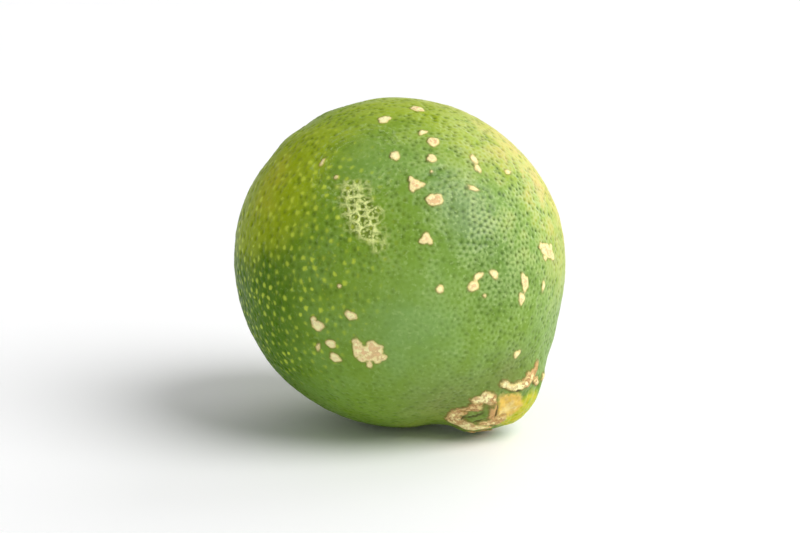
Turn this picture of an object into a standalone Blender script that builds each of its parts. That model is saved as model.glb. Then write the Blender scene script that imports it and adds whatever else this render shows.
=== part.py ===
"""A rangpur lime, whole, with its dried stem button, lying on a small flat spot.

The fruit is worked out in its own axes, with the nipple on +Z and the stem on -Z,
and then turned to the way it lies. Lengths are in metres and angles in degrees.
"""

import math
import random

import bmesh
import bpy
import numpy as np
from mathutils import Matrix, Vector, noise

# The fruit's form
BODY_RADIUS = 0.0275
STEM_SHOULDER = 0.0011
UNDERSIDE_FLATTER = 0.0005
UNDERSIDE_ANGLE = 42.0
FLAT_SPOT_DEPTH = 0.0003
FLAT_SPOT_ANGLE = 10.0
UNEVENNESS = 0.0004
UNEVENNESS_SCALE = 1.3

# How it lies: the nipple points right, a little to the front, and down
NIPPLE_DROP = 47.6
NIPPLE_HEADING = -31.0

# Height of the nipple over the body, in metres, by the angle from its tip
NIPPLE_STEEP_SIDE = (
    (0, 0.0051), (4, 0.0044), (9, 0.0037), (14, 0.0027), (18, 0.0011), (22, 0.0002), (34, 0.0)
)
NIPPLE_SOFT_SIDE = (
    (0, 0.0051), (5, 0.0048), (10, 0.0041), (15, 0.0028), (21, 0.0015), (29, 0.0007), (50, 0.0)
)
STEEP_TURN = -40.0

# The corky collar round the nipple, outside which the furrow runs, and the creases across it
COLLAR_ANGLE = 15.5
COLLAR_WIDTH = 2.6
COLLAR_RISE = 0.00055
COLLAR_SOFT_SHARE = 0.35
COLLAR_LOBES = 5
COLLAR_LOBE_SHARE = 0.35
COLLAR_LOBE_TURN = 40.0
CREASE_TURNS = (-128.0, -25.0, 70.0, 165.0)
CREASE_DEPTH = 0.0005
CREASE_WIDTH = 9.0
CREASE_ANGLE = 12.5
CREASE_LENGTH = 5.0

# The stem end: a shallow dimple with faint furrows running out of it
DIMPLE_DEPTH = 0.0012
DIMPLE_ANGLE = 8.0
STEM_FURROWS = 7
STEM_FURROW_DEPTH = 0.0003
STEM_FURROW_ANGLE = 18.0
STEM_FURROW_LENGTH = 9.0
STEM_FURROW_SWAY = 25.0

# Oil glands, larger than life: a pit with a ridge round it
GLANDS = 1700
GLAND_SLOPE = 0.16
GLAND_EDGE = 12.0
GLAND_SEED = 7
GLAND_JITTER = 0.55
GLAND_ROUNDS = 10
FINER_AT_NIPPLE = 0.38
FINER_AT_STEM = 0.30
FINER_ANGLE = 34.0

# The stem button
CALYX_LOBES = 5
CALYX_RADIUS = 0.0019
CALYX_LOBE_REACH = 0.0010
CALYX_THICKNESS = 0.0006
CALYX_SIDES = 40
CALYX_EDGE = 50.0
STUB_RADIUS = 0.0011
STUB_HEIGHT = 0.0009
STUB_HOLLOW = 0.0003
GAP = 0.0003

# Colour, roughness
RIND = ((0.13, 0.27, 0.05), 0.42)
BUTTON = ((0.30, 0.24, 0.11), 0.75)


def clear_scene():
    for obj in list(bpy.data.objects):
        bpy.data.objects.remove(obj, do_unlink=True)


def material(name, look):
    colour, roughness = look
    made = bpy.data.materials.new(name)
    made.use_nodes = True
    shader = made.node_tree.nodes["Principled BSDF"]
    shader.inputs["Base Color"].default_value = (*colour, 1.0)
    shader.inputs["Roughness"].default_value = roughness
    shader.inputs["Metallic"].default_value = 0.0
    return made


def finished(name, bm, edge_angle, finish):
    """The object made of a bmesh: faces outwards, smooth but for edges over an angle."""
    bm.normal_update()
    bmesh.ops.recalc_face_normals(bm, faces=bm.faces)
    mesh = bpy.data.meshes.new(name)
    bm.to_mesh(mesh)
    bm.free()
    mesh.shade_smooth()
    mesh.set_sharp_from_angle(angle=math.radians(edge_angle))
    mesh.materials.append(finish)
    obj = bpy.data.objects.new(name, mesh)
    bpy.context.scene.collection.objects.link(obj)
    return obj


def bell(x, width):
    return np.exp(-((x / width) ** 2))


def through(points, x):
    """A smooth curve through a few points, read at x, with its slope taken from each point's neighbours."""
    xs, ys = (np.array(values, float) for values in zip(*points))
    slopes = np.gradient(ys, xs)
    slopes[0] = slopes[-1] = 0.0
    x = np.clip(x, xs[0], xs[-1])
    i = np.clip(np.searchsorted(xs, x) - 1, 0, len(xs) - 2)
    span = xs[i + 1] - xs[i]
    t = (x - xs[i]) / span
    start = (1 + 2 * t) * (1 - t) ** 2 * ys[i] + t * (1 - t) ** 2 * span * slopes[i]
    end = t**2 * (3 - 2 * t) * ys[i + 1] + t**2 * (t - 1) * span * slopes[i + 1]
    return start + end


def angle_between(a, b):
    """How far turn a is from turn b, in degrees, from -180 to 180."""
    return (a - b + 180.0) % 360.0 - 180.0


def nipple_rise(angle, turn):
    """The nipple over the body: steep with a furrow on one side, a soft taper on the other."""
    steep_share = 0.5 + 0.5 * np.cos(np.radians(turn - STEEP_TURN))
    steep = through(NIPPLE_STEEP_SIDE, angle)
    soft = through(NIPPLE_SOFT_SIDE, angle)
    rise = soft + (steep - soft) * steep_share
    lobe = np.cos(np.radians(COLLAR_LOBES * turn + COLLAR_LOBE_TURN)) * np.cos(np.radians(2 * turn))
    collar = (1 - COLLAR_LOBE_SHARE + COLLAR_LOBE_SHARE * lobe) * bell(angle - COLLAR_ANGLE, COLLAR_WIDTH)
    rise = rise + COLLAR_RISE * collar * (COLLAR_SOFT_SHARE + (1 - COLLAR_SOFT_SHARE) * steep_share)
    for crease in CREASE_TURNS:
        across = bell(angle_between(turn, crease), CREASE_WIDTH)
        rise = rise - CREASE_DEPTH * across * bell(angle - CREASE_ANGLE, CREASE_LENGTH)
    return rise


def stem_rise(angle, turn):
    """The stem end, by the angle from the stem: its full shoulder, the dimple and the furrows round it."""
    shoulder = STEM_SHOULDER * np.clip(np.cos(np.radians(angle)), 0.0, 1.0) ** 3
    sway = STEM_FURROW_SWAY * np.sin(np.radians(turn))
    furrow = 0.5 - 0.5 * np.cos(np.radians(STEM_FURROWS * turn + sway))
    furrow = STEM_FURROW_DEPTH * furrow * bell(angle - STEM_FURROW_ANGLE, STEM_FURROW_LENGTH)
    return shoulder - furrow - DIMPLE_DEPTH * bell(angle, DIMPLE_ANGLE)


def lying():
    """The turn from the fruit's own axes to the way it lies."""
    tip_over = Matrix.Rotation(math.radians(90.0 + NIPPLE_DROP), 3, "Y")
    return np.array(Matrix.Rotation(math.radians(NIPPLE_HEADING), 3, "Z") @ tip_over)


def from_underside(directions):
    """The angle of each direction from straight down, as the fruit lies."""
    height = directions @ lying()[2]
    return np.degrees(np.arccos(np.clip(-height, -1.0, 1.0)))


def form_radius(directions):
    """How far the fruit's surface is from its centre, in each direction, without the glands."""
    x, y, z = directions.T
    angle = np.degrees(np.arccos(np.clip(z, -1.0, 1.0)))
    turn = np.degrees(np.arctan2(y, x))
    uneven = np.array([noise.noise(Vector(d) * UNEVENNESS_SCALE) for d in directions])
    flatter = UNDERSIDE_FLATTER * bell(from_underside(directions), UNDERSIDE_ANGLE)
    radius = BODY_RADIUS + UNEVENNESS * uneven - flatter
    return radius + nipple_rise(angle, turn) + stem_rise(180.0 - angle, turn)


def finer_towards(directions, pole, share):
    """Draws points closer together round one pole, where the glands are smaller."""
    along = directions @ pole
    angle = np.degrees(np.arccos(np.clip(along, -1.0, 1.0)))
    nearer = np.radians(angle * (1.0 - share * bell(angle, FINER_ANGLE)))
    across = directions - along[:, None] * pole
    across /= np.maximum(np.linalg.norm(across, axis=1), 1e-9)[:, None]
    return np.cos(nearer)[:, None] * pole + np.sin(nearer)[:, None] * across


def hull_of(directions):
    """A bmesh with one vertex for each direction on the unit ball, joined by triangles."""
    bm = bmesh.new()
    for direction in directions:
        bm.verts.new(direction)
    bmesh.ops.convex_hull(bm, input=bm.verts)
    bm.verts.ensure_lookup_table()
    return bm


def middle_of_faces(vertex):
    """The direction of the middle of the faces round a vertex, the larger faces counting for more."""
    middle = Vector()
    for face in vertex.link_faces:
        middle += face.calc_area() * face.calc_center_median()
    return middle.normalized()


def gland_directions():
    """One direction for each gland: a spiral of even density, shaken and then evened out."""
    draw = random.Random(GLAND_SEED)
    pitch = math.sqrt(4 * math.pi / GLANDS)
    points = []
    for i in range(GLANDS):
        z = 1 - (2 * i + 1) / GLANDS
        turn = i * math.pi * (3 - math.sqrt(5))
        ring = math.sqrt(1 - z * z)
        shake = Vector([draw.uniform(-1, 1) for _ in range(3)]) * GLAND_JITTER * pitch
        points.append((Vector((ring * math.cos(turn), ring * math.sin(turn), z)) + shake).normalized())
    points = np.array(points)
    for _ in range(GLAND_ROUNDS):
        bm = hull_of(points)
        points = np.array([middle_of_faces(vertex) for vertex in bm.verts])
        bm.free()
    points = finer_towards(points, np.array((0.0, 0.0, 1.0)), FINER_AT_NIPPLE)
    return finer_towards(points, np.array((0.0, 0.0, -1.0)), FINER_AT_STEM)


def floor_level():
    """The height of the flat spot under the fruit's centre, which is where the fruit stands."""
    down = -lying()[2][None, :]
    return FLAT_SPOT_DEPTH - float(form_radius(down)[0])


def gland_reach(pit):
    """How far the ridge is from a pit, on the unit ball."""
    return sum(edge.calc_length() for edge in pit.link_edges) / len(pit.link_edges)


def make_fruit():
    """A ball of glands: each is a fan of triangles from its pit out to the ridge round it."""
    bm = hull_of(gland_directions())
    pits = len(bm.verts)
    between = list(bm.edges)
    bmesh.ops.poke(bm, faces=bm.faces)
    bmesh.ops.rotate_edges(bm, edges=between, use_ccw=False)
    for vertex in bm.verts:
        vertex.co.normalize()
    directions = np.array([vertex.co for vertex in bm.verts])
    radius = form_radius(directions)
    from_stem = np.degrees(np.arccos(np.clip(-directions[:, 2], -1.0, 1.0)))
    smoother = bell(from_stem, DIMPLE_ANGLE)
    smoother = np.maximum(smoother, bell(from_underside(directions), FLAT_SPOT_ANGLE))
    reach = BODY_RADIUS * np.array([gland_reach(vertex) for vertex in list(bm.verts)[:pits]])
    radius[:pits] -= GLAND_SLOPE * reach * (1.0 - smoother[:pits])
    points = (directions * radius[:, None]) @ lying().T
    floor = floor_level()
    points[:, 2] = np.maximum(points[:, 2], floor) - floor
    for vertex, point in zip(bm.verts, points):
        vertex.co = point
    return finished("fruit", bm, GLAND_EDGE, material("rind", RIND))


def button_outline(turn):
    """The button's radius at a turn: a disc with five short pointed lobes."""
    return CALYX_RADIUS + CALYX_LOBE_REACH * (1 - abs(math.sin(0.5 * CALYX_LOBES * turn)))


def make_calyx():
    """A thin lobed disc that follows the dimple, with the cut stub of the stem on it."""

    def dimple_height(across, turn):
        direction = np.array([[across * math.cos(turn), across * math.sin(turn), -BODY_RADIUS]])
        direction /= np.linalg.norm(direction)
        return float(form_radius(direction)[0] * -direction[0, 2])

    turns = [2 * math.pi * i / CALYX_SIDES for i in range(CALYX_SIDES)]
    # Each ring: share of the outline, fixed radius, height over the dimple's floor
    rings = (
        (0.45, 0.0, GAP),
        (0.98, 0.0, GAP),
        (1.0, 0.0, GAP + 0.35 * CALYX_THICKNESS),
        (0.80, 0.0, GAP + 0.8 * CALYX_THICKNESS),
        (0.0, 1.25 * STUB_RADIUS, GAP + CALYX_THICKNESS),
        (0.0, STUB_RADIUS, GAP + CALYX_THICKNESS + 0.2 * STUB_HEIGHT),
        (0.0, 0.95 * STUB_RADIUS, GAP + CALYX_THICKNESS + STUB_HEIGHT),
        (0.0, 0.6 * STUB_RADIUS, GAP + CALYX_THICKNESS + STUB_HEIGHT - STUB_HOLLOW),
    )
    bm = bmesh.new()
    loops = []
    for share, fixed, height in rings:
        loop = []
        for turn in turns:
            across = share * button_outline(turn) + fixed
            z = -(dimple_height(across, turn) + height)
            loop.append(bm.verts.new((across * math.cos(turn), across * math.sin(turn), z)))
        loops.append(loop)
    for low, high in zip(loops, loops[1:]):
        for i in range(CALYX_SIDES):
            j = (i + 1) % CALYX_SIDES
            bm.faces.new((low[i], low[j], high[j], high[i]))
    for loop in (loops[0], loops[-1]):
        face = bm.faces.new(loop)
        bmesh.ops.poke(bm, faces=[face])
    up = Matrix.Translation((0.0, 0.0, -floor_level()))
    bmesh.ops.transform(bm, matrix=up @ Matrix(lying()).to_4x4(), verts=bm.verts)
    return finished("calyx", bm, CALYX_EDGE, material("stem_button", BUTTON))


def stand_over_origin(pieces):
    """Moves the pieces together, so that the middle of their box stands over the origin."""
    corners = np.array([vertex.co for piece in pieces for vertex in piece.data.vertices])
    middle = (corners.min(axis=0) + corners.max(axis=0)) / 2
    for piece in pieces:
        piece.data.transform(Matrix.Translation((-middle[0], -middle[1], 0.0)))


clear_scene()
stand_over_origin([make_fruit(), make_calyx()])
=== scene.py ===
"""The looks of a rangpur lime: its rind with oil glands, scars and corky nipple, and the dried stem button.

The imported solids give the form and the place, and these pieces stand for them with finer ones.
Lengths are in metres and angles in degrees, unless a name or a comment says otherwise.
The fruit is worked out in its own axes, with the nipple on +Z and the stem on -Z, and then turned to
the way it lies. On the standing fruit, a place is given by its longitude, from the front towards the
right, and by its height over the middle, both in degrees.
"""

import math
import random

import bmesh
import bpy
import numpy as np
from mathutils import Matrix, Vector, kdtree, noise


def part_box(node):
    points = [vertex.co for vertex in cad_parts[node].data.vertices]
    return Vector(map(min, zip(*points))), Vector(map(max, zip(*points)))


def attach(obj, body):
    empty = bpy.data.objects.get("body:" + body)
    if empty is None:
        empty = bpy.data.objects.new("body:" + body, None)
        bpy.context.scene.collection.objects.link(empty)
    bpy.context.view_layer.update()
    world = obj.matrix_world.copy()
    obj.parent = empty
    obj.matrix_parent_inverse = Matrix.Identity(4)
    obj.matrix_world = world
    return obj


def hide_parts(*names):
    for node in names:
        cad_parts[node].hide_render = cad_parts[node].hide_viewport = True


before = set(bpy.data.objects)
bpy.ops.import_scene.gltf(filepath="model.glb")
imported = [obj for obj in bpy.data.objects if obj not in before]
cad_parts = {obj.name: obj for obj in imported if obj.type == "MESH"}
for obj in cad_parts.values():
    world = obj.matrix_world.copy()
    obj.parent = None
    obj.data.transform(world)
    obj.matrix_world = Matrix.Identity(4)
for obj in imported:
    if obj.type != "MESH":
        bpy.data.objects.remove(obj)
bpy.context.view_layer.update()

MM = 0.001

# The fruit's form, as in the solid
BODY_RADIUS = 0.0275
STEM_SHOULDER = 0.0011
UNDERSIDE_FLATTER = 0.0005
UNDERSIDE_ANGLE = 42.0
FLAT_SPOT_DEPTH = 0.0003
UNEVENNESS = 0.0004
UNEVENNESS_SCALE = 1.3
NIPPLE_DROP = 47.6
NIPPLE_HEADING = -31.0
NIPPLE_STEEP_SIDE = (
    (0, 0.0051), (4, 0.0044), (9, 0.0037), (14, 0.0027), (18, 0.0011), (22, 0.0002), (34, 0.0)
)
NIPPLE_SOFT_SIDE = (
    (0, 0.0051), (5, 0.0048), (10, 0.0041), (15, 0.0028), (21, 0.0015), (29, 0.0007), (50, 0.0)
)
STEEP_TURN = -40.0
COLLAR_ANGLE = 15.5
COLLAR_WIDTH = 2.6
COLLAR_RISE = 0.00055
COLLAR_SOFT_SHARE = 0.35
COLLAR_LOBES = 5
COLLAR_LOBE_SHARE = 0.35
COLLAR_LOBE_TURN = 40.0
CREASE_TURNS = (-128.0, -25.0, 70.0, 165.0)
CREASE_DEPTH = 0.0005
CREASE_WIDTH = 9.0
CREASE_ANGLE = 12.5
CREASE_LENGTH = 5.0
DIMPLE_DEPTH = 0.0012
DIMPLE_ANGLE = 8.0
STEM_FURROWS = 7
STEM_FURROW_DEPTH = 0.0003
STEM_FURROW_ANGLE = 18.0
STEM_FURROW_LENGTH = 9.0
STEM_FURROW_SWAY = 25.0

# Oil glands at their real size: a soft pit each, on a net of low ridges. The large ones stand 1.5 to
# 2 mm apart, with small ones between them. A pit's depth is drawn between two shares of PIT_DEPTH.
# The hull leaves out about 1 in 100 of the glands
GLANDS = 10800
LARGE_SHARE = 0.42
GLAND_SEED = 7
GLAND_JITTER = 0.6
GLAND_ROUNDS = 3
FINER_AT_NIPPLE = 0.38
FINER_AT_STEM = 0.30
FINER_ANGLE = 34.0
FINE_SPLITS = 2
PIT_DEPTH = 0.00012
LARGE_PIT_RADIUS = 0.000414
SMALL_PIT_RADIUS = 0.00027
LARGE_PITS = (0.8, 1.5)
SMALL_PITS = (0.1, 0.5)
LOST_ON_SCARS = 0.85
LUMP_HEIGHT = 0.00008
LUMPS_PER_RADIUS = 7.0

# Pale flecks over glands, partly their own colour and partly painted highlight: clear ones at least a pitch
# apart, and faint ones over the glands between.
# A fleck is taller than it is wide, stands a little proud where the others are pits, and ends at the
# ridge round its gland. The palest are the widest
FLECK_PITCH = 0.00128
CLEAR_FLECKS = (0.5, 1.0)
FAINT_FLECKS = (0.0, 0.45)
FLECK_RADIUS = 0.00052
FAINTEST_WIDTH = 0.4
WIDER_IF_PALE = 0.7
FLECK_STRETCH = 1.4
FLECK_GAP = (0.0, 0.00018)
FLECK_HEIGHT = 0.00005

# Places on the rind, each: longitude, height, width in degrees, and a share where there are several
# Where the pale flecks are; their paleness is partly the glands' own colour and partly painted highlight
FLECK_ZONE = (-62.0, 14.0, 54.0)
FLECK_FADE = (0.05, 0.75)
# The upper right side, where a sheen is painted in: a greyer green, a paler net and darker pits
NET_AND_SHEEN_ZONE = (52.0, 30.0, 40.0)
BLUSH_ZONE = (78.0, 34.0, 24.0)
# The left side, where painted shade deepens the rind's own deep green
SHADE_ZONE = (-84.0, -6.0, 52.0)
# A dull olive patch low beside the nipple, and painted shade over the nipple's collar
DULL_AND_SHADE_ZONES = ((20.0, -42.0, 15.0, 1.0), (45.0, -29.0, 10.0, 1.0))
# Painted shade: a darker green right of the middle of the front
PAINTED_SHADE_ZONES = ((19.0, 37.0, 9.0, 0.8), (28.0, 23.0, 11.0, 1.0), (35.0, 4.0, 12.0, 0.7))
STEM_RING = 10.0
STEM_RING_SHARE = 0.7
ORANGE_ZONE = (47.7, -39.8, 5.0)
TIP_ZONE = (58.0, -43.0, 8.0)
SMOOTH_ZONES = ((-22.5, 50.0, 11.0, 0.9), (-2.0, -16.0, 26.0, 0.75), (8.0, 6.0, 14.0, 0.4))
RIPPLE_MIDDLE = (-22.5, 49.5)
RIPPLE_RING = (6.4, 2.6)
RIPPLE_PITCH_MM = 1.3

# Scars on the front, each: longitude, height, length mm, width mm, slant, tan share, raggedness
FRONT_SCARS = (
    (-17.4, 70.6, 2.0, 2.4, 7, 0.1, 0.2),
    (30.1, 79.2, 2.4, 2.2, -41, 0.9, 0.2),
    (15.9, 63.2, 1.6, 1.2, 20, 0.1, 0.3),
    (20.6, 58.2, 2.0, 2.2, -5, 1.0, 0.15),
    (-3.4, 52.2, 1.6, 1.9, 1, 0.1, 0.15),
    (16.0, 50.7, 1.7, 1.7, -4, 0.4, 0.15),
    (14.3, 45.3, 0.6, 0.6, 0, 0.0, 0.1),
    (39.5, 48.6, 1.2, 1.8, -7, 0.0, 0.2),
    (38.4, 44.8, 1.1, 1.8, -9, 0.0, 0.2),
    (31.3, 37.6, 2.0, 0.9, -26, 0.7, 0.25),
    (55.1, 41.1, 1.7, 0.9, -13, 0.3, 0.25),
    (24.0, 5.2, 1.9, 1.7, -6, 0.7, 0.12),
    (25.9, 8.2, 1.7, 1.1, 30, 0.1, 0.2),
    (31.9, 8.3, 1.9, 1.1, -47, 0.5, 0.2),
    (12.5, 5.1, 1.3, 1.3, 0, 0.1, 0.15),
    (28.0, 1.6, 0.6, 0.6, 0, 0.0, 0.1),
    (45.2, 3.6, 2.8, 1.8, 99, 0.9, 0.3),
    (43.7, -1.6, 1.9, 1.4, 78, 0.6, 0.25),
    (55.9, 0.4, 2.0, 0.9, 79, 0.1, 0.25),
    (45.2, -21.5, 1.6, 1.2, 40, 0.1, 0.25),
    (-20.6, 5.5, 0.7, 0.7, 0, 0.0, 0.1),
    (-16.9, -4.1, 2.1, 1.4, -34, 0.1, 0.2),
    (-29.2, -8.9, 2.3, 1.8, 10, 0.1, 0.2),
    (-30.6, -7.0, 1.2, 1.1, 60, 0.1, 0.2),
    (-25.0, -15.2, 1.7, 1.7, 5, 0.1, 0.15),
    (-30.3, -17.1, 1.6, 0.7, 69, 0.0, 0.15),
    (-24.2, -20.6, 2.2, 1.6, -20, 0.2, 0.2),
    (-41.7, 46.7, 0.8, 1.5, 5, 0.0, 0.2),
    (-30.2, 42.0, 0.8, 0.8, 0, 0.0, 0.1),
)

# Scars of several lobes, each: longitude, height, tan share, and its lobes: right, up, length, width in mm
LOBED_SCARS = (
    (-11.2, -17.6, 0.8, (
        (-1.9, 0.7, 1.8, 3.4), (0.5, 0.1, 3.6, 3.5), (-0.9, 0.3, 1.8, 1.9), (0.4, 1.7, 1.5, 1.3),
        (1.6, 1.1, 1.4, 1.3), (2.1, -0.7, 1.4, 1.3), (-0.1, -2.2, 1.0, 1.5), (-2.3, 1.9, 0.9, 1.2),
        (-1.2, -1.2, 1.5, 1.3), (1.2, -1.5, 1.2, 0.9),
    )),
    (6.5, 40.6, 0.9, (
        (-0.2, 0.0, 1.9, 2.1), (-0.8, 1.0, 1.0, 1.0), (-0.7, -0.7, 1.1, 1.2), (0.8, -0.1, 1.2, 1.0),
    )),
    (13.3, 34.6, 0.9, ((-0.5, 0.0, 1.9, 1.9), (0.5, 0.1, 1.9, 1.8), (0.0, 0.0, 2.4, 1.7))),
    (8.6, 21.4, 0.7, ((0.0, 0.2, 1.5, 1.7), (-0.6, -0.3, 1.1, 1.0), (0.6, -0.4, 0.9, 1.0))),
    (60.5, 11.4, 1.0, (
        (-0.7, 0.5, 2.6, 1.9), (0.8, -0.5, 2.6, 1.7), (0.1, 0.1, 2.0, 2.2), (-1.7, 1.2, 1.3, 1.1),
        (1.8, -1.3, 1.5, 1.2), (-1.0, -0.9, 1.2, 0.9), (1.6, 0.5, 1.1, 1.0),
    )),
)

# Corky flakes on the nipple's front: as the front's scars
NIPPLE_SCARS = (
    (29.8, -51.8, 5.0, 2.4, 113, 0.65, 0.25),
    (28.6, -47.0, 2.2, 1.5, 26, 0.7, 0.3),
    (38.6, -51.8, 5.0, 2.3, 23, 0.5, 0.3),
    (33.2, -43.0, 3.4, 1.3, 49, 0.7, 0.3),
    (36.0, -38.2, 3.4, 2.2, 26, 0.45, 0.3),
    (39.2, -37.6, 1.4, 1.3, 60, 0.6, 0.3),
    (41.6, -42.6, 3.6, 1.3, 108, 1.0, 0.25),
    (44.6, -46.6, 3.4, 2.4, 40, 0.7, 0.3),
    (43.4, -32.5, 2.0, 1.2, -12, 0.0, 0.2),
    (49.3, -32.8, 2.4, 1.2, 18, 0.1, 0.25),
    (46.2, -33.2, 2.6, 1.0, 0, 0.3, 0.15),
    (52.0, -32.0, 2.2, 1.3, 25, 0.4, 0.2),
    (54.6, -30.6, 3.0, 1.9, 34, 0.7, 0.3),
    (57.8, -28.6, 2.4, 1.3, 68, 1.0, 0.3),
    (59.2, -32.4, 2.4, 1.2, 160, 0.6, 0.3),
)

# Corky flakes round the rest of the nipple, each: angle from the tip, turn, length mm round the ring,
# width mm, slant, tan share, raggedness
COLLAR_SCARS = (
    (11.4, -34.0, 2.8, 0.9, 35, 0.5, 0.4),
    (10.0, -12.0, 3.2, 1.1, 20, 0.6, 0.5),
    (14.4, 174.0, 2.2, 1.0, -10, 0.5, 0.6),
    (12.0, 20.0, 3.6, 1.6, 10, 0.5, 0.7),
    (15.6, 44.0, 2.0, 1.2, -20, 0.6, 0.6),
    (16.0, 66.0, 3.2, 1.4, -8, 0.6, 0.7),
    (15.0, 104.0, 3.0, 1.8, 12, 0.4, 0.7),
    (17.0, 132.0, 2.0, 1.0, 0, 0.3, 0.6),
    (16.0, 153.0, 1.8, 0.8, 20, 0.4, 0.5),
)

# Dark slits between the flakes, each: longitude, height, length mm, width mm, slant
SLITS = (
    (35.8, -46.0, 3.2, 0.34, 61),
    (38.2, -47.3, 2.0, 0.30, 59),
    (42.4, -41.9, 2.4, 0.34, 105),
    (49.2, -34.2, 0.8, 0.5, 6),
    (32.4, -49.4, 1.8, 0.3, 75),
)

# Scars on the sides that the front doesn't show, spread at random, the level being the height's sine
BACK_SCARS = 34
BACK_SEED = 23
BACK_LONGITUDES = (100, 260)
BACK_LEVELS = (-0.85, 0.8)
BACK_WIDTHS_MM = (0.8, 1.9)
BACK_LARGE_SHARE = 0.12
BACK_LARGE_GROWTH = 2.0
BACK_STRETCH = (1.0, 1.5)
BACK_TAN = (0.0, 0.9)
BACK_RAGGEDNESS = (0.1, 0.3)
CLEAR_OF_STEM = 13.0

# How a scar's outline wavers, each: waves round it, share of its raggedness
RAGGED_WAVES = ((2, 0.40), (3, 0.45), (5, 0.30), (8, 0.12))
LOBE_RAGGEDNESS = 0.15
SLIT_RAGGEDNESS = 0.1

# How far from its middle a scar is worked out, in radians
SCAR_REACH = 0.35

# Across these distances inside its outline, in mm, a scar or a slit comes to its full height or depth
SCAR_STEP_MM = (-0.15, 0.2)
SLIT_STEP_MM = (-0.18, 0.1)
SCAR_RISE = 0.00007
CORK_RISE = 0.00018
SLIT_DEPTH = 0.00022
SCAR_GRAIN = 0.7
GRAIN_PER_RADIUS = 60.0

# A faint net of scar tissue that follows the ridges between the glands
NET_SCAR = (-14.8, 29.6)
NET_SCAR_WIDTH_MM = 4.4
NET_SCAR_HEIGHT_MM = 7.6
NET_SCAR_LEAN = 30.0

# Where the rind turns from green to yellow: longitude, height, width in degrees, share
RIPE_ZONES = (
    (102.0, 36.0, 40.0, 1.15),
    (-64.0, 34.0, 30.0, 0.64),
    (5.0, 96.0, 30.0, 0.40),
    (12.0, -62.0, 34.0, 0.25),
    (-150.0, -10.0, 34.0, 0.4),
)

# The stem button
BUTTON_SIDES = 80
BUTTON_RADIUS = 0.0022
BUTTON_LOBES = (1.0, 0.72, 0.92, 0.6, 0.82)
BUTTON_LOBE_REACH = 0.0008
BUTTON_LOBE_BLUNTNESS = 1.3
BUTTON_EDGE = 0.000225
BUTTON_OVER_RIND = 0.00008
RIBS = 19
RIB_SWAYS = 3
RIB_SWAY = 1.3
RIB_HEIGHT = 0.00009
BUTTON_GRAIN = 0.00008
BUTTON_GRAIN_SCALE = 2.3

# Each step from the button's edge in towards the stub: inset, rise
BUTTON_STEPS = (
    (0.00012, 0.00012), (0.00025, 0.00006), (0.00025, 0.00002), (0.0001, 0.00004),
    (0.00008, 0.00014), (0.00002, 0.0003), (0.0, 0.0003), (0.00006, 0.00012), (0.00014, 0.00004),
    (0.00016, -0.00006), (0.00012, -0.00018), (0.0002, -0.00008), (0.0002, 0.0), (0.00008, 0.0),
)

# How fine the clouds in the finishes are, per metre, and how deep the bumps
BROAD_CLOUD = 70.0
PATCHY_CLOUD = 260.0
FINE_CLOUD = 1500.0
FLAKE_CLOUD = 1100.0
FIBRE_CLOUD = 1800.0
BLOTCH_CLOUD = 500.0
BUMP_DEPTH = 0.00008

# Colours, linear
GREEN = (0.175, 0.300, 0.018)
# Deep green of the left side, partly the rind's own colour and partly painted shade
DEEP_GREEN_AND_SHADE = (0.075, 0.175, 0.001)
# Darker green for the painted shade right of the middle
PAINTED_SHADE_GREEN = (0.060, 0.150, 0.030)
# Grey green, the rind's own tone in patches, and painted sheen on the smooth zones and the upper right
GREY_GREEN_AND_SHEEN = (0.190, 0.335, 0.075)
OLIVE = (0.360, 0.460, 0.004)
YELLOW = (0.560, 0.535, 0.030)
PIT_GREEN = (0.050, 0.110, 0.004)
# Pale green of the ridge net, the specks and the ripples; on the ridge net it is painted highlight
PALE_GREEN_AND_HIGHLIGHT = (0.410, 0.560, 0.195)
NET_PALE = (0.800, 0.860, 0.330)
NET_DARK = (0.150, 0.170, 0.020)
# Dull olive, the rind's own in places, and painted shade over the nipple's collar
DULL_AND_SHADE = (0.150, 0.175, 0.035)
# Pale green of the flecks, partly the glands' own colour and partly painted highlight
FLECK_AND_HIGHLIGHT = (0.600, 0.720, 0.070)
CREAM = (0.955, 0.905, 0.475)
TAN = (0.800, 0.520, 0.260)
SCAR_EDGE = (0.780, 0.620, 0.260)
BARK = (0.560, 0.320, 0.120)
BLUSH = (0.660, 0.470, 0.110)
RUSSET = (0.240, 0.110, 0.030)
TIP_YELLOW = (0.540, 0.500, 0.015)
TIP_ORANGE = (0.720, 0.480, 0.090)
SLIT_BROWN = (0.070, 0.060, 0.012)
BUTTON_PALE = (0.330, 0.330, 0.120)
BUTTON_BROWN = (0.110, 0.070, 0.025)
FLOOR = (0.975, 0.975, 0.98)
WHITE = (1.0, 1.0, 1.0)

# A white tent that is dimmer overhead and on the upper left, each fade between two parts of a direction
TENT_WALL = 1.05
TENT_TOP = 0.42
TENT_TOP_FADE = (0.05, 0.35)
TENT_LEFT_SHARE = 0.5
TENT_LEFT_FADE = (-1.0, 0.4)
TENT_LEFT_RISE = (0.08, 0.25)

# Two large soft lights, at the upper right and behind
KEY_PLACE = (0.66, -0.30, 0.72)
KEY_STRENGTH = 2.6
KEY_SPREAD = 45.0
RIM_PLACE = (0.62, 0.70, 0.50)
RIM_STRENGTH = 0.85
RIM_SPREAD = 50.0

# The camera looks at the fruit from the front, from a little above
CAMERA_HEIGHT_ANGLE = 13.0
CAMERA_DISTANCE = 0.372
CAMERA_LENS = 100.0
CAMERA_AIM = (0.0, 0.0, 0.0265)

FLOOR_SIZE = 6.0


def deselect_all():
    if bpy.context.mode != "OBJECT":
        bpy.ops.object.mode_set(mode="OBJECT")
    bpy.ops.object.select_all(action="DESELECT")


def bell(x, width):
    return np.exp(-((x / width) ** 2))


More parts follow.
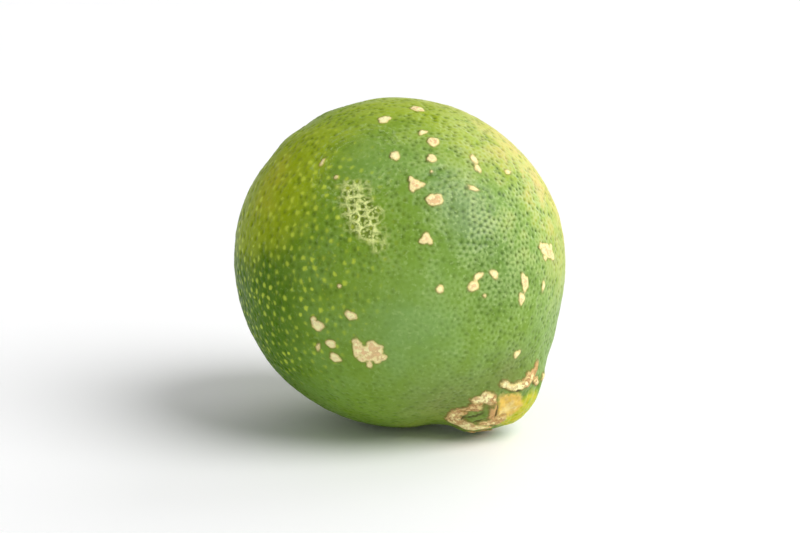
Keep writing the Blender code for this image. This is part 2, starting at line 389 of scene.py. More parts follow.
def ease(x, start, end):
    """0 before start, 1 after end, and a smooth step between them."""
    t = np.clip((x - start) / (end - start), 0.0, 1.0)
    return t * t * (3.0 - 2.0 * t)


def through(points, x):
    """A smooth curve through a few points, read at x, with its slope taken from each point's neighbours."""
    xs, ys = (np.array(values, float) for values in zip(*points))
    slopes = np.gradient(ys, xs)
    slopes[0] = slopes[-1] = 0.0
    x = np.clip(x, xs[0], xs[-1])
    i = np.clip(np.searchsorted(xs, x) - 1, 0, len(xs) - 2)
    span = xs[i + 1] - xs[i]
    t = (x - xs[i]) / span
    start = (1 + 2 * t) * (1 - t) ** 2 * ys[i] + t * (1 - t) ** 2 * span * slopes[i]
    end = t**2 * (3 - 2 * t) * ys[i + 1] + t**2 * (t - 1) * span * slopes[i + 1]
    return start + end


def angle_between(a, b):
    """How far turn a is from turn b, in degrees, from -180 to 180."""
    return (a - b + 180.0) % 360.0 - 180.0


def nipple_rise(angle, turn):
    """The nipple over the body: steep with a furrow on one side, a soft taper on the other."""
    steep_share = 0.5 + 0.5 * np.cos(np.radians(turn - STEEP_TURN))
    steep = through(NIPPLE_STEEP_SIDE, angle)
    soft = through(NIPPLE_SOFT_SIDE, angle)
    rise = soft + (steep - soft) * steep_share
    lobe = np.cos(np.radians(COLLAR_LOBES * turn + COLLAR_LOBE_TURN)) * np.cos(np.radians(2 * turn))
    collar = (1 - COLLAR_LOBE_SHARE + COLLAR_LOBE_SHARE * lobe) * bell(angle - COLLAR_ANGLE, COLLAR_WIDTH)
    rise = rise + COLLAR_RISE * collar * (COLLAR_SOFT_SHARE + (1 - COLLAR_SOFT_SHARE) * steep_share)
    for crease in CREASE_TURNS:
        across = bell(angle_between(turn, crease), CREASE_WIDTH)
        rise = rise - CREASE_DEPTH * across * bell(angle - CREASE_ANGLE, CREASE_LENGTH)
    return rise


def stem_rise(angle, turn):
    """The stem end, by the angle from the stem: its full shoulder, the dimple and the furrows round it."""
    shoulder = STEM_SHOULDER * np.clip(np.cos(np.radians(angle)), 0.0, 1.0) ** 3
    sway = STEM_FURROW_SWAY * np.sin(np.radians(turn))
    furrow = 0.5 - 0.5 * np.cos(np.radians(STEM_FURROWS * turn + sway))
    furrow = STEM_FURROW_DEPTH * furrow * bell(angle - STEM_FURROW_ANGLE, STEM_FURROW_LENGTH)
    return shoulder - furrow - DIMPLE_DEPTH * bell(angle, DIMPLE_ANGLE)


def lying():
    """The turn from the fruit's own axes to the way it lies."""
    tip_over = Matrix.Rotation(math.radians(90.0 + NIPPLE_DROP), 3, "Y")
    return np.array(Matrix.Rotation(math.radians(NIPPLE_HEADING), 3, "Z") @ tip_over)


def angle_from(directions, pole):
    """The angle of each direction from one direction, in degrees."""
    return np.degrees(np.arccos(np.clip(directions @ np.asarray(pole, float), -1.0, 1.0)))


def form_radius(directions):
    """How far the fruit's surface is from its centre, in each direction, without the glands."""
    angle = angle_from(directions, (0, 0, 1))
    turn = np.degrees(np.arctan2(directions[:, 1], directions[:, 0]))
    uneven = np.array([noise.noise(Vector(d) * UNEVENNESS_SCALE) for d in directions])
    flatter = UNDERSIDE_FLATTER * bell(angle_from(directions, -lying()[2]), UNDERSIDE_ANGLE)
    radius = BODY_RADIUS + UNEVENNESS * uneven - flatter
    return radius + nipple_rise(angle, turn) + stem_rise(180.0 - angle, turn)


def floor_level():
    """The height of the flat spot under the fruit's centre, which is where the fruit stands."""
    return FLAT_SPOT_DEPTH - float(form_radius(-lying()[2][None, :])[0])


def standing_direction(longitude, height):
    """A place on the standing fruit as a direction in the fruit's own axes."""
    lon, up = math.radians(longitude), math.radians(height)
    world = np.array((math.sin(lon) * math.cos(up), -math.cos(lon) * math.cos(up), math.sin(up)))
    return world @ lying()


def finer_towards(directions, pole, share):
    """Draws points closer together round one pole, where the glands are smaller."""
    angle = angle_from(directions, pole)
    nearer = np.radians(angle * (1.0 - share * bell(angle, FINER_ANGLE)))
    across = directions - (directions @ pole)[:, None] * pole
    across /= np.maximum(np.linalg.norm(across, axis=1), 1e-9)[:, None]
    return np.cos(nearer)[:, None] * pole + np.sin(nearer)[:, None] * across


def hull_of(directions):
    """A bmesh with one vertex for each direction on the unit ball, joined by triangles."""
    bm = bmesh.new()
    for direction in directions:
        bm.verts.new(direction)
    bmesh.ops.convex_hull(bm, input=bm.verts)
    bm.verts.ensure_lookup_table()
    return bm


def remove_loose(bm):
    """Removes the vertices that the hull left without a face."""
    for vertex in [vertex for vertex in bm.verts if not vertex.link_faces]:
        bm.verts.remove(vertex)


def middle_of_faces(vertex):
    """The direction of the middle of the faces round a vertex, the larger faces counting for more."""
    middle = Vector()
    for face in vertex.link_faces:
        middle += face.calc_area() * face.calc_center_median()
    return middle.normalized()


def gland_directions():
    """One direction for each gland: a spiral of even density, shaken and then evened out."""
    draw = random.Random(GLAND_SEED)
    pitch = math.sqrt(4 * math.pi / GLANDS)
    points = []
    for i in range(GLANDS):
        z = 1 - (2 * i + 1) / GLANDS
        turn = i * math.pi * (3 - math.sqrt(5))
        ring = math.sqrt(1 - z * z)
        shake = Vector([draw.uniform(-1, 1) for _ in range(3)]) * GLAND_JITTER * pitch
        points.append((Vector((ring * math.cos(turn), ring * math.sin(turn), z)) + shake).normalized())
    points = np.array(points)
    for _ in range(GLAND_ROUNDS):
        bm = hull_of(points)
        points = np.array([middle_of_faces(vertex) for vertex in bm.verts])
        bm.free()
    points = finer_towards(points, np.array((0.0, 0.0, 1.0)), FINER_AT_NIPPLE)
    return finer_towards(points, np.array((0.0, 0.0, -1.0)), FINER_AT_STEM)


def split_in_three(bm):
    """Splits each triangle in three round its middle, and turns each old edge to join two middles."""
    old = list(bm.edges)
    bmesh.ops.poke(bm, faces=bm.faces)
    bmesh.ops.rotate_edges(bm, edges=old, use_ccw=False)
    for vertex in bm.verts:
        vertex.co.normalize()


def tree_of(points):
    tree = kdtree.KDTree(len(points))
    for i, point in enumerate(points):
        tree.insert(point, i)
    tree.balance()
    return tree


def two_nearest(points, directions):
    """For each direction: which point is nearest, and how far it and the next one are, in metres."""
    tree = tree_of(points)
    found = np.array([[(number, far) for _, number, far in tree.find_n(d, 2)] for d in directions])
    return found[:, 0, 0].astype(int), found[:, 0, 1] * BODY_RADIUS, found[:, 1, 1] * BODY_RADIUS


def spread_out(glands, gap):
    """Picks glands in turn, each at least a gap in metres from those picked before."""
    tree = tree_of(glands)
    picked = np.zeros(len(glands), bool)
    barred = np.zeros(len(glands), bool)
    for i, gland in enumerate(glands):
        if not barred[i]:
            picked[i] = True
            barred[[number for _, number, _ in tree.find_range(gland, gap / BODY_RADIUS)]] = True
    return picked


def gland_fields(directions, glands):
    """For each direction: the pit's depth share, how pale the fleck is, and how far the next ridge is, in
    metres, first between all glands and then between the large ones."""
    draw = random.Random(GLAND_SEED)
    large = np.array([draw.random() < LARGE_SHARE for _ in glands])
    depths = np.array([draw.uniform(*(LARGE_PITS if is_large else SMALL_PITS)) for is_large in large])
    clear = spread_out(glands, FLECK_PITCH)
    pale = np.array([draw.uniform(*(CLEAR_FLECKS if is_clear else FAINT_FLECKS)) for is_clear in clear])
    own, near, next_near = two_nearest(glands, directions)
    _, near_large, next_large = two_nearest(glands[large], directions)
    from_ridge = (next_near - near) / 2
    pit = bell(near, np.where(large[own], LARGE_PIT_RADIUS, SMALL_PIT_RADIUS)) * depths[own]
    upright = (directions - glands[own]) @ lying()[2] * BODY_RADIUS
    flattened = np.sqrt(np.maximum(near**2 - (1.0 - FLECK_STRETCH**-2) * upright**2, 0.0))
    width = FLECK_RADIUS * (FAINTEST_WIDTH + WIDER_IF_PALE * pale[own])
    fleck = bell(flattened, width) * pale[own] * ease(from_ridge, *FLECK_GAP)
    return pit, fleck, from_ridge, (next_large - near_large) / 2


def slanted(directions, centre, east, slant):
    """How far each direction is from a centre, along and across a slanting line, in mm on the rind."""
    lean = math.radians(slant)
    north = np.cross(centre, east)
    offset = (directions - centre) * BODY_RADIUS / MM
    along = offset @ (east * math.cos(lean) + north * math.sin(lean))
    across = offset @ (north * math.cos(lean) - east * math.sin(lean))
    return along, across


class Scars:
    """Gathers scars into fields over the rind: how far inside a scar a point is in mm, and whether that
    scar is tan or cork."""

    def __init__(self, directions):
        self.directions = directions
        self.inside = np.full(len(directions), -9.0)
        self.tan = np.zeros(len(directions))
        self.cork = np.zeros(len(directions))
        self.draw = random.Random(BACK_SEED)

    def add(self, centre, east, length, width, slant, tan, ragged, cork=0.0):
        """Adds one ragged oval: centre and east are directions, length and width are in millimetres."""
        near = np.nonzero(self.directions @ centre > math.cos(SCAR_REACH))[0]
        along, across = slanted(self.directions[near], centre, east, slant)
        along = along / (0.5 * length)
        across = across / (0.5 * width)
        turn = np.arctan2(across, along)
        outline = np.ones(len(near))
        for waves, share in RAGGED_WAVES:
            outline += ragged * share * np.sin(waves * turn + self.draw.uniform(0, 2 * math.pi))
        inside = (outline - np.hypot(along, across)) * 0.5 * min(length, width)
        deeper = inside > self.inside[near]
        spot = near[deeper]
        self.inside[spot] = inside[deeper]
        self.tan[spot] = tan
        self.cork[spot] = cork


def east_of(centre):
    """The direction that runs level round the standing fruit, to the right as seen from outside."""
    east = np.cross(lying()[2], centre)
    return east / np.linalg.norm(east)


def shifted(centre, east, right, up):
    """The direction a little to the right of and over another, in mm on the rind."""
    moved = centre + (right * east + up * np.cross(centre, east)) * MM / BODY_RADIUS
    return moved / np.linalg.norm(moved)


def add_back_scars(scars):
    """Adds the scars that are spread at random over the far side."""
    draw = random.Random(BACK_SEED)
    for _ in range(BACK_SCARS):
        longitude = draw.uniform(*BACK_LONGITUDES)
        height = math.degrees(math.asin(draw.uniform(*BACK_LEVELS)))
        width = draw.uniform(*BACK_WIDTHS_MM)
        if draw.random() < BACK_LARGE_SHARE:
            width *= BACK_LARGE_GROWTH
        length = width * draw.uniform(*BACK_STRETCH)
        slant = draw.uniform(0, 180)
        tan = draw.uniform(*BACK_TAN)
        centre = standing_direction(longitude, height)
        if -centre[2] < math.cos(math.radians(CLEAR_OF_STEM)):
            scars.add(centre, east_of(centre), length, width, slant, tan, draw.uniform(*BACK_RAGGEDNESS))


def scar_fields(directions):
    scars = Scars(directions)
    for rows, cork in ((FRONT_SCARS, 0.0), (NIPPLE_SCARS, 1.0)):
        for longitude, height, length, width, slant, tan, ragged in rows:
            centre = standing_direction(longitude, height)
            scars.add(centre, east_of(centre), length, width, slant, tan, ragged, cork)
    for longitude, height, tan, lobes in LOBED_SCARS:
        centre = standing_direction(longitude, height)
        east = east_of(centre)
        for right, up, length, width in lobes:
            scars.add(shifted(centre, east, right, up), east, length, width, 0, tan, LOBE_RAGGEDNESS)
    for angle, turn, length, width, slant, tan, ragged in COLLAR_SCARS:
        a, t = math.radians(angle), math.radians(turn)
        centre = np.array((math.sin(a) * math.cos(t), math.sin(a) * math.sin(t), math.cos(a)))
        east = np.array((-math.sin(t), math.cos(t), 0.0))
        scars.add(centre, east, length, width, slant, tan, ragged, 1.0)
    add_back_scars(scars)
    return scars


def slit_field(directions):
    slits = Scars(directions)
    for longitude, height, length, width, slant in SLITS:
        centre = standing_direction(longitude, height)
        slits.add(centre, east_of(centre), length, width, slant, 0.0, SLIT_RAGGEDNESS)
    return ease(slits.inside, *SLIT_STEP_MM)


def net_scar_field(directions):
    """1 in the middle of the net scar, 0 at the edge of its oval, and below 0 outside."""
    centre = standing_direction(*NET_SCAR)
    across, along = slanted(directions, centre, east_of(centre), NET_SCAR_LEAN)
    inside = 1.0 - np.hypot(across / NET_SCAR_WIDTH_MM, along / NET_SCAR_HEIGHT_MM)
    return np.where(directions @ centre > 0, inside, -1.0)


def zone(directions, longitude, height, width):
    """A soft round zone on the rind: 1 in its middle, and fading out over its width."""
    return bell(angle_from(directions, standing_direction(longitude, height)), width)


def zones(directions, rows):
    """Several zones added up, each with its share."""
    return sum(share * zone(directions, *place) for *place, share in rows)


def set_field(mesh, name, values):
    field = mesh.attributes.new(name, "FLOAT", "POINT")
    field.data.foreach_set("value", np.asarray(values, np.float32))


def evenness(directions, scarred):
    """How much of the pits is gone: in the smooth zones, round the stem and on scars."""
    smooth = np.clip(zones(directions, SMOOTH_ZONES), 0, 1)
    stem = bell(angle_from(directions, (0, 0, -1)), DIMPLE_ANGLE)
    return 1.0 - (1.0 - smooth) * (1.0 - stem) * (1.0 - LOST_ON_SCARS * scarred)


def rind_radius(directions, pit, fleck, scarred, cork, slit):
    """How far the rind's surface is from the fruit's centre, with all that stands on it or is sunk in it."""
    lumps = np.array([noise.fractal(Vector(d) * LUMPS_PER_RADIUS, 1.0, 2.1, 2) for d in directions])
    grain = np.array([noise.fractal(Vector(d) * GRAIN_PER_RADIUS, 1.0, 2.0, 3) for d in directions])
    radius = form_radius(directions) + LUMP_HEIGHT * lumps
    radius += FLECK_HEIGHT * fleck - PIT_DEPTH * pit * (1.0 - fleck)
    radius += scarred * (SCAR_RISE + (CORK_RISE - SCAR_RISE) * cork) * (1.0 + SCAR_GRAIN * grain)
    return radius - SLIT_DEPTH * slit


def laid_down(points):
    """Turns the fruit's points to the way it lies, with its flat spot on the floor and its middle over the
    solid's, and gives them with the place of the fruit's centre."""
    points = points @ lying().T
    floor = floor_level()
    points[:, 2] = np.maximum(points[:, 2], floor) - floor
    low, high = (np.array(corner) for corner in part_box("fruit"))
    shift = (low + high) / 2 - (points.min(axis=0) + points.max(axis=0)) / 2
    shift[2] = 0.0
    return points + shift, shift - np.array((0.0, 0.0, floor))


def make_rind():
    """The rind: a ball split finely round its glands, with pits, scars and cork in its surface."""
    glands = gland_directions()
    bm = hull_of(glands)
    remove_loose(bm)
    for _ in range(FINE_SPLITS):
        split_in_three(bm)
    directions = np.array([vertex.co for vertex in bm.verts])
    pit, fleck, from_ridge, from_wide_ridge = gland_fields(directions, glands)
    scars = scar_fields(directions)
    scarred = ease(scars.inside, *SCAR_STEP_MM)
    slit = slit_field(directions)
    even = evenness(directions, scarred)
    pit = pit * (1.0 - even)
    fleck = fleck * ease(zone(directions, *FLECK_ZONE), *FLECK_FADE)
    radius = rind_radius(directions, pit, fleck, scarred, scars.cork, slit)
    points, centre = laid_down(directions * radius[:, None])
    for vertex, point in zip(bm.verts, points):
        vertex.co = point
    bm.normal_update()
    bmesh.ops.recalc_face_normals(bm, faces=bm.faces)
    mesh = bpy.data.meshes.new("rind")
    bm.to_mesh(mesh)
    bm.free()
    mesh.shade_smooth()

    stem_ring = bell(angle_from(directions, (0, 0, -1)), STEM_RING)
    from_rings = angle_from(directions, standing_direction(*RIPPLE_MIDDLE))
    fields = {
        "pit": pit,
        "fleck": fleck,
        "even": even,
        "slit": slit,
        "ridge_mm": from_ridge / MM,
        "wide_ridge_mm": from_wide_ridge / MM,
        "scar_mm": scars.inside,
        "tan": scars.tan,
        "cork": scars.cork,
        "net": net_scar_field(directions),
        "ripple_mm": np.radians(from_rings) * BODY_RADIUS / MM,
        "ripe": zones(directions, RIPE_ZONES),
        "deep": np.clip(zones(directions, PAINTED_SHADE_ZONES), 0, 1),
        "dull": zones(directions, DULL_AND_SHADE_ZONES) + STEM_RING_SHARE * stem_ring,
        "net_and_sheen_side": zone(directions, *NET_AND_SHEEN_ZONE),
        "shade_side": zone(directions, *SHADE_ZONE),
        "blush": zone(directions, *BLUSH_ZONE),
        "tip": zone(directions, *TIP_ZONE),
        "orange": zone(directions, *ORANGE_ZONE),
    }
    for name, values in fields.items():
        set_field(mesh, name, values)
    rind = bpy.data.objects.new("rind", mesh)
    bpy.context.scene.collection.objects.link(rind)
    return rind, centre


class Value:
    """A socket that carries a number, on which Python's operators add Math nodes."""

    def __init__(self, nodes, socket):
        self.nodes = nodes
        self.socket = socket

    def math(self, operation, *others):
        return self.nodes.node("Math", {"operation": operation}, [self, *others])

    def __add__(self, other):
        return self.math("ADD", other)

    def __sub__(self, other):
        return self.math("SUBTRACT", other)

    def __rsub__(self, other):
        return (self * -1.0) + other

    def __mul__(self, other):
        return self.math("MULTIPLY", other)

    def __truediv__(self, other):
        return self.math("DIVIDE", other)

    __radd__ = __add__
    __rmul__ = __mul__

    def clamped(self):
        return self.nodes.node("Clamp", {}, [self])

    def larger(self, other):
        return self.math("MAXIMUM", other)

    def ease(self, start, end):
        """0 at start, 1 at end, and a smooth step between them, also where start is the larger."""
        low, high = min(start, end), max(start, end)
        settings = {"interpolation_type": "SMOOTHSTEP"}
        step = self.nodes.node("MapRange", settings, [self, low, high, 0.0, 1.0])
        return 1.0 - step if start > end else step


class Nodes:
    """A tree of shader nodes, all of which come from node()."""

    def __init__(self, tree):
        self.tree = tree

    def node(self, kind, settings, values, output=0):
        """Adds a node of a type, gives it its settings, and then its sockets their values or links."""
        added = self.tree.nodes.new("ShaderNode" + kind)
        for name, setting in settings.items():
            setattr(added, name, setting)
        pairs = values.items() if isinstance(values, dict) else enumerate(values)
        for key, value in pairs:
            self.fill(added.inputs[key], value)
        return Value(self, added.outputs[output])

    def fill(self, socket, value):
        if isinstance(value, Value):
            self.tree.links.new(value.socket, socket)
        elif isinstance(value, tuple) and socket.type == "RGBA":
            socket.default_value = (*value, 1.0)
        else:
            socket.default_value = value


class Finish(Nodes):
    """A material on the Principled shader, whose sockets are named with _ for each space."""

    def __init__(self, name, **constants):
        self.material = bpy.data.materials.new(name)
        self.material.use_nodes = True
        super().__init__(self.material.node_tree)
        self.feed(**constants)

    def feed(self, **values):
        shader = self.tree.nodes["Principled BSDF"]
        for name, value in values.items():
            self.fill(shader.inputs[name.replace("_", " ")], value)

    def field(self, name):
        return self.node("Attribute", {"attribute_name": name}, {}, "Fac")

    def cloud(self, per_metre, detail=3.0, roughness=0.5):
        """A noise over the object's own coordinates, about 0 to 1."""
        place = self.node("TexCoord", {}, {}, "Object")
        values = {"Vector": place, "Scale": per_metre, "Detail": detail, "Roughness": roughness}
        return self.node("TexNoise", {}, values, "Fac")

    def mixed(self, share, first, second):
        """Two colours mixed by a share: 0 gives the first, 1 the second."""
        values = {0: share, 6: first, 7: second}
        return self.node("Mix", {"data_type": "RGBA"}, values, 2)

    def bumped(self, height):
        return self.node("Bump", {}, {"Distance": BUMP_DEPTH, "Height": height})


class RindFinish(Finish):
    """Waxy green rind: darker pits on a paler net of painted highlight, yellow where it ripens, cream and
    tan scars, with painted sheen and shade in places.
    """

    def __init__(self):
        super().__init__(
            "rind",
            Subsurface_Weight=0.1,
            Subsurface_Radius=(0.8, 1.0, 0.2),
            Subsurface_Scale=0.0008,
            Coat_Roughness=0.28,
            Specular_IOR_Level=0.06,
        )
        self.broad = self.cloud(BROAD_CLOUD, 2.0)
        self.patchy = self.cloud(PATCHY_CLOUD, 4.0, 0.6)
        self.fine = self.cloud(FINE_CLOUD, 3.0, 0.6)
        self.flakes = self.cloud(FLAKE_CLOUD, 4.0, 0.7)
        self.pit = self.field("pit")
        self.ridge_mm = self.field("ridge_mm")
        self.net_and_sheen_side = self.field("net_and_sheen_side")
        self.cork = self.field("cork")
        self.tan = self.field("tan")
        self.shade = self.field("shade_side").clamped()
        self.ripe = self.field("ripe") + (self.broad - 0.5) * 0.6 + (self.patchy - 0.5) * 0.35

    def greens(self):
        """Green, greyer in patches, with a greyer painted sheen on the smooth zones and the upper right,
        deep green with painted shade on the left, painted shade right of the middle, olive and yellow where
        it ripens, dull in places, with painted shade over the nipple's collar.
        """
        greyer = (self.broad + (self.patchy - 0.5) * 0.4).ease(0.40, 0.70) * 0.6
        # Painted sheen: the smooth zones and the upper right side are greyer
        greyer = greyer + self.field("even") * 0.5 + self.net_and_sheen_side * 0.5
        colour = self.mixed(greyer.clamped(), GREEN, GREY_GREEN_AND_SHEEN)
        # Painted shade: a darker green right of the middle of the front
        deep = (self.field("deep") * (0.2 + self.patchy)).clamped()
        colour = self.mixed(deep * 0.85, colour, PAINTED_SHADE_GREEN)
        # Painted shade on the left side, over the rind's own deep green
        colour = self.mixed(self.shade.ease(0.20, 0.68), colour, DEEP_GREEN_AND_SHADE)
        colour = self.mixed(self.ripe.ease(0.15, 0.55) * 0.85, colour, OLIVE)
        colour = self.mixed(self.ripe.ease(0.55, 1.0), colour, YELLOW)
        # Dull olive low beside the nipple and round the stem, and painted shade over the nipple's collar
        dull = (self.field("dull") * (0.3 + self.patchy)).clamped()
        return self.mixed(dull * 0.8, colour, DULL_AND_SHADE)

    def netted(self, colour):
        """Adds the dark pits, darker on the upper right as painted shade in the sheen, the pale net of
        ridges between them as painted highlight, and fine pale specks.
        """
        # Dark pits, darker still on the upper right as painted shade within the painted sheen
        colour = self.mixed(self.pit * (0.40 + self.net_and_sheen_side * 0.35), colour, PIT_GREEN)
        # The pale net on the ridges is painted highlight, strongest on the upper right and left out in the
        # left's painted shade
        ridge = self.ridge_mm.ease(0.34, 0.04) * self.patchy.ease(0.3, 0.65)
        share = (0.12 + self.net_and_sheen_side * 0.75) * (1.0 - self.shade) * (1.0 - self.ripe.ease(0.4, 1.0) * 0.6)
        colour = self.mixed((ridge * share).clamped(), colour, PALE_GREEN_AND_HIGHLIGHT)
        specks = (0.24 + self.net_and_sheen_side * 0.4) * (1.0 - self.shade * 0.6)
        return self.mixed((self.fine.ease(0.56, 0.68) * specks).clamped(), colour, PALE_GREEN_AND_HIGHLIGHT)

    def flecked(self, colour):
        """Adds the pale flecks, partly the glands' own colour and partly painted highlight, and the orange
        blush of the ripe shoulder.
        """
        fleck = (self.field("fleck") * (0.3 + self.patchy + self.fine * 0.6)).ease(0.08, 1.00)
        colour = self.mixed(fleck * 0.8, colour, FLECK_AND_HIGHLIGHT)
        blush = self.field("blush") * (self.patchy + self.broad * 0.5).ease(0.66, 0.92)
        return self.mixed(blush * 0.75, colour, BLUSH)

    def ripple(self):
        """Faint, broken rings round the smooth zone over the net scar."""
        out_mm = self.field("ripple_mm")
        away = (out_mm - RIPPLE_RING[0]) / RIPPLE_RING[1]
        waves = (out_mm * (2 * math.pi / RIPPLE_PITCH_MM) + (self.patchy - 0.5) * 18.0).math("SINE")
        return waves.ease(0.1, 0.8) * (away * away).ease(1.0, 0.3) * self.flakes.ease(0.46, 0.60)

    def tipped(self, colour):
        """Adds the yellow-green tip of the nipple and the orange stain beside it."""
        tip = (self.field("tip") + (self.patchy - 0.5) * 0.5).ease(0.25, 0.6)
        tip_colour = self.mixed(self.flakes.ease(0.50, 0.62), TIP_YELLOW, OLIVE)
        colour = self.mixed(tip * 0.9, colour, tip_colour)
        stained = self.field("orange") + (self.flakes - 0.5) * 0.6 + (self.patchy - 0.5) * 0.9
        stain = self.mixed((self.patchy + self.flakes * 0.4).ease(0.70, 0.90) * 0.45, TIP_ORANGE, CREAM)
        stain = self.mixed((self.fine * 0.5 + self.flakes).ease(0.80, 0.92) * 0.5, stain, BARK)
        return self.mixed(stained.ease(0.28, 0.58), colour, stain)

    def net_scar(self):
        """Two shares: how much of the net scar there is, and how much of its lines."""
        worn = (self.fine - 0.5) * 0.4 + (self.flakes - 0.5) * 0.3
        wide = (self.field("wide_ridge_mm") + worn).ease(0.30, 0.08)
        wide = wide * (self.flakes.ease(0.38, 0.50) * 0.5 + 0.5)
        thin = (self.ridge_mm + worn).ease(0.20, 0.04) * 0.6
        share = (self.field("net") + (self.patchy - 0.5) * 1.8).ease(0.10, 0.70)
        return share, (wide.larger(thin) * share).clamped()

    def tissue(self, edge):
        """Scar tissue, by how far inside its edge it is: cream, tan in the middle, and bark and cracks."""
        colour = self.mixed((edge + (self.flakes - 0.5) * 0.5).ease(0.0, 0.42), SCAR_EDGE, CREAM)
        middle = edge.ease(0.10, 0.5) * self.tan * self.flakes.ease(0.30, 0.55)
        colour = self.mixed((middle + (self.flakes - 0.56) * 1.6).clamped(), colour, TAN)
        barky = self.cork * (self.tan + self.patchy * 0.8 - 0.55 + (self.flakes - 0.5) * 2.4)
        colour = self.mixed(barky.ease(0.1, 0.7) * 0.85, colour, BARK)
        off_crack = self.flakes - 0.54
        crack = (off_crack * off_crack).ease(0.0014, 0.0002) * (0.25 + self.cork * 0.45)
        return self.mixed((crack * self.patchy.ease(0.35, 0.6)).clamped(), colour, RUSSET)

    def build(self):
        ripple = self.ripple()
        colour = self.flecked(self.netted(self.greens()))
        colour = self.tipped(self.mixed(ripple * 0.5, colour, PALE_GREEN_AND_HIGHLIGHT))

        ragged = (self.fine - 0.5) * 0.26 + (self.patchy - 0.5) * 0.18
        ragged = ragged + (self.flakes - 0.5) * self.cork * 0.8
        edge = self.field("scar_mm") + ragged
        scar = edge.ease(-0.12, 0.14)
        rim = (edge.ease(-0.34, -0.08) * (1.0 - scar)).clamped()
        net_share, net = self.net_scar()
        colour = self.mixed((net_share * (1.0 - net) * 0.50).clamped(), colour, NET_DARK)
        colour = self.mixed(rim * (0.22 + self.cork * 0.25), colour, RUSSET)
        colour = self.mixed(net * 0.95, colour, NET_PALE)
        colour = self.mixed(scar, colour, self.tissue(edge))
        colour = self.mixed(self.field("slit").ease(0.35, 0.8) * 0.85, colour, SLIT_BROWN)

        dry = scar.larger(net)
        height = self.fine * 0.35 - self.pit * 0.9 + dry * (0.6 + self.flakes * 2.0) + ripple * 0.5
        self.feed(
            Base_Color=colour,
            Roughness=0.40 + (self.patchy - 0.5) * 0.12 + self.pit * 0.05 + dry * 0.3,
            Coat_Weight=(1.0 - dry) * (1.0 - self.shade.ease(0.0, 0.3)) * (0.25 + self.net_and_sheen_side * 0.12),
            Normal=self.bumped(height),
        )
        return self.material


def button_finish():
    """Dried stem tissue: pale at the lobes, brown in the hollow, with ribs running out."""
    button = Finish("stem_button", Specular_IOR_Level=0.3)
    across = button.field("across")
    ribs = button.field("ribs")
    fibres = button.cloud(FIBRE_CLOUD, 4.0, 0.65)
    blotches = button.cloud(BLOTCH_CLOUD, 3.0)
    pale = (across + (blotches - 0.5) * 0.8).ease(0.15, 0.75)
    colour = button.mixed(pale, BUTTON_BROWN, BUTTON_PALE)
    brown = ribs.ease(0.6, 0.1) * 0.4 + (fibres - 0.45) * 0.8
    colour = button.mixed(brown.clamped(), colour, BUTTON_BROWN)
    button.feed(
        Base_Color=colour,
        Roughness=0.68 + (fibres - 0.5) * 0.25,
        Normal=button.bumped(fibres + ribs * 0.3),
    )
    return button.material


def button_outline(turn):
    """The button's radius at a turn: a disc with short blunt lobes, each of its own length."""
    lobe = turn * len(BUTTON_LOBES) / (2 * math.pi)
    reach = np.array(BUTTON_LOBES)[np.rint(lobe).astype(int) % len(BUTTON_LOBES)]
    tip = (0.5 + 0.5 * np.cos(2 * math.pi * lobe)) ** BUTTON_LOBE_BLUNTNESS
    return BUTTON_RADIUS + BUTTON_LOBE_REACH * reach * tip


def make_button(centre):
    """The stem button, turned up from a disc: rings are inset and raised to the stub, then sunk."""
    deselect_all()
    bpy.ops.mesh.primitive_circle_add(vertices=BUTTON_SIDES, radius=BUTTON_RADIUS, fill_type="NGON")
    button = bpy.context.active_object
    button.name = button.data.name = "calyx_button"
    bpy.ops.object.mode_set(mode="EDIT")
    bpy.ops.mesh.select_all(action="SELECT")
    bpy.ops.mesh.normals_make_consistent(inside=False)
    bpy.ops.mesh.extrude_region_move(TRANSFORM_OT_translate={"value": (0, 0, BUTTON_EDGE)})
    for inset, rise in BUTTON_STEPS:
        bpy.ops.mesh.inset(thickness=inset, depth=0.0)
        bpy.ops.transform.translate(value=(0, 0, rise))
    bpy.ops.mesh.poke()
    bpy.ops.object.mode_set(mode="OBJECT")
    shape_button(button, centre)
    deselect_all()
    button.select_set(True)
    bpy.context.view_layer.objects.active = button
    smoother = button.modifiers.new("smoother", "SUBSURF")
    smoother.levels = smoother.render_levels = 1
    bpy.ops.object.modifier_apply(modifier=smoother.name)
    bpy.ops.object.mode_set(mode="EDIT")
    bpy.ops.mesh.select_all(action="SELECT")
    bpy.ops.mesh.normals_make_consistent(inside=False)
    bpy.ops.object.mode_set(mode="OBJECT")
    bpy.ops.object.shade_smooth()
    return button


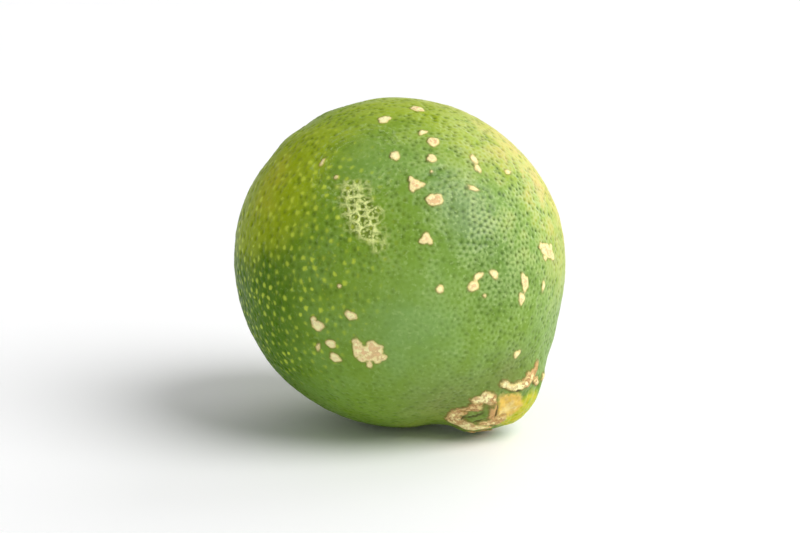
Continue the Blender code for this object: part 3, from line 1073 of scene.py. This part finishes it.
def shape_button(button, centre):
    """Gives the turned disc its lobes and ribs, bends it to the dimple, and puts it on the fruit."""
    mesh = button.data
    points = np.empty(len(mesh.vertices) * 3)
    mesh.vertices.foreach_get("co", points)
    points = points.reshape(-1, 3)
    across = np.hypot(points[:, 0], points[:, 1])
    turn = np.arctan2(points[:, 1], points[:, 0])
    share = np.clip(across / BUTTON_RADIUS, 0.0, 1.0)
    across = across * (1 + ease(share, 0.6, 1.0) * (button_outline(turn) / BUTTON_RADIUS - 1))
    ribs = 0.5 + 0.5 * np.cos(RIBS * turn + RIB_SWAY * np.sin(RIB_SWAYS * turn))
    grain = np.array([
        noise.noise(Vector((math.cos(t), math.sin(t), 3 * s)) * BUTTON_GRAIN_SCALE)
        for t, s in zip(turn, share)
    ])
    on_top = points[:, 2] > 0.5 * BUTTON_EDGE
    relief = RIB_HEIGHT * ribs * ease(share, 0.3, 0.6) + BUTTON_GRAIN * grain
    rise = points[:, 2] + relief * on_top
    flat = np.stack((across * np.cos(turn), -across * np.sin(turn)), axis=1)
    under = np.column_stack((flat, np.full(len(across), -BODY_RADIUS)))
    directions = under / np.linalg.norm(under, axis=1)[:, None]
    rind = form_radius(directions) * -directions[:, 2]
    placed = np.column_stack((flat, -(rind + BUTTON_OVER_RIND + rise))) @ lying().T + centre
    mesh.vertices.foreach_set("co", placed.ravel())
    set_field(mesh, "across", share)
    set_field(mesh, "ribs", ribs)
    mesh.update()


def make_floor():
    deselect_all()
    bpy.ops.mesh.primitive_plane_add(size=FLOOR_SIZE, location=(0, 0, 0))
    floor = bpy.context.active_object
    floor.name = floor.data.name = "floor"
    finish = Finish("floor", Base_Color=FLOOR, Roughness=0.6, Specular_IOR_Level=0.25)
    floor.data.materials.append(finish.material)
    return floor


def add_sun(name, towards, strength, spread):
    """A soft light from far off: towards is the direction in which it stands, spread its width as seen."""
    deselect_all()
    bpy.ops.object.light_add(type="SUN", location=Vector(towards))
    sun = bpy.context.active_object
    sun.name = name
    sun.rotation_euler = Vector(towards).to_track_quat("Z", "Y").to_euler()
    sun.data.energy = strength
    sun.data.angle = math.radians(spread)


def light_the_tent():
    """A white tent, dimmer overhead and on the upper left, with large soft lights on the right."""
    world = bpy.data.worlds.new("tent")
    bpy.context.scene.world = world
    world.use_nodes = True
    tent = Nodes(world.node_tree)
    towards = tent.node("TexCoord", {}, {}, "Generated")
    right = tent.node("SeparateXYZ", {}, [towards], "X")
    up = tent.node("SeparateXYZ", {}, [towards], "Z")
    settings = {"interpolation_type": "SMOOTHSTEP"}
    wall = tent.node("MapRange", settings, [up, *TENT_TOP_FADE, TENT_WALL, TENT_TOP])
    left_share = tent.node("MapRange", {}, [up, *TENT_LEFT_RISE, 1.0, TENT_LEFT_SHARE])
    side = tent.node("MapRange", {}, [right, *TENT_LEFT_FADE, left_share, 1.0])
    background = world.node_tree.nodes["Background"]
    tent.fill(background.inputs["Color"], WHITE)
    tent.fill(background.inputs["Strength"], wall * side)
    add_sun("key", KEY_PLACE, KEY_STRENGTH, KEY_SPREAD)
    add_sun("rim", RIM_PLACE, RIM_STRENGTH, RIM_SPREAD)


def add_camera():
    angle = math.radians(CAMERA_HEIGHT_ANGLE)
    offset = Vector((0.0, -math.cos(angle), math.sin(angle))) * CAMERA_DISTANCE
    deselect_all()
    bpy.ops.object.camera_add(location=Vector(CAMERA_AIM) + offset)
    camera = bpy.context.active_object
    camera.rotation_euler = (-offset).to_track_quat("-Z", "Y").to_euler()
    camera.data.lens = CAMERA_LENS
    bpy.context.scene.camera = camera


rind, fruit_centre = make_rind()
rind.data.materials.append(RindFinish().build())
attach(rind, "root")
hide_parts("fruit")

button = make_button(fruit_centre)
button.data.materials.append(button_finish())
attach(button, "root")
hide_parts("calyx")

make_floor()
light_the_tent()
add_camera()
bpy.context.scene.view_settings.view_transform = "Standard"
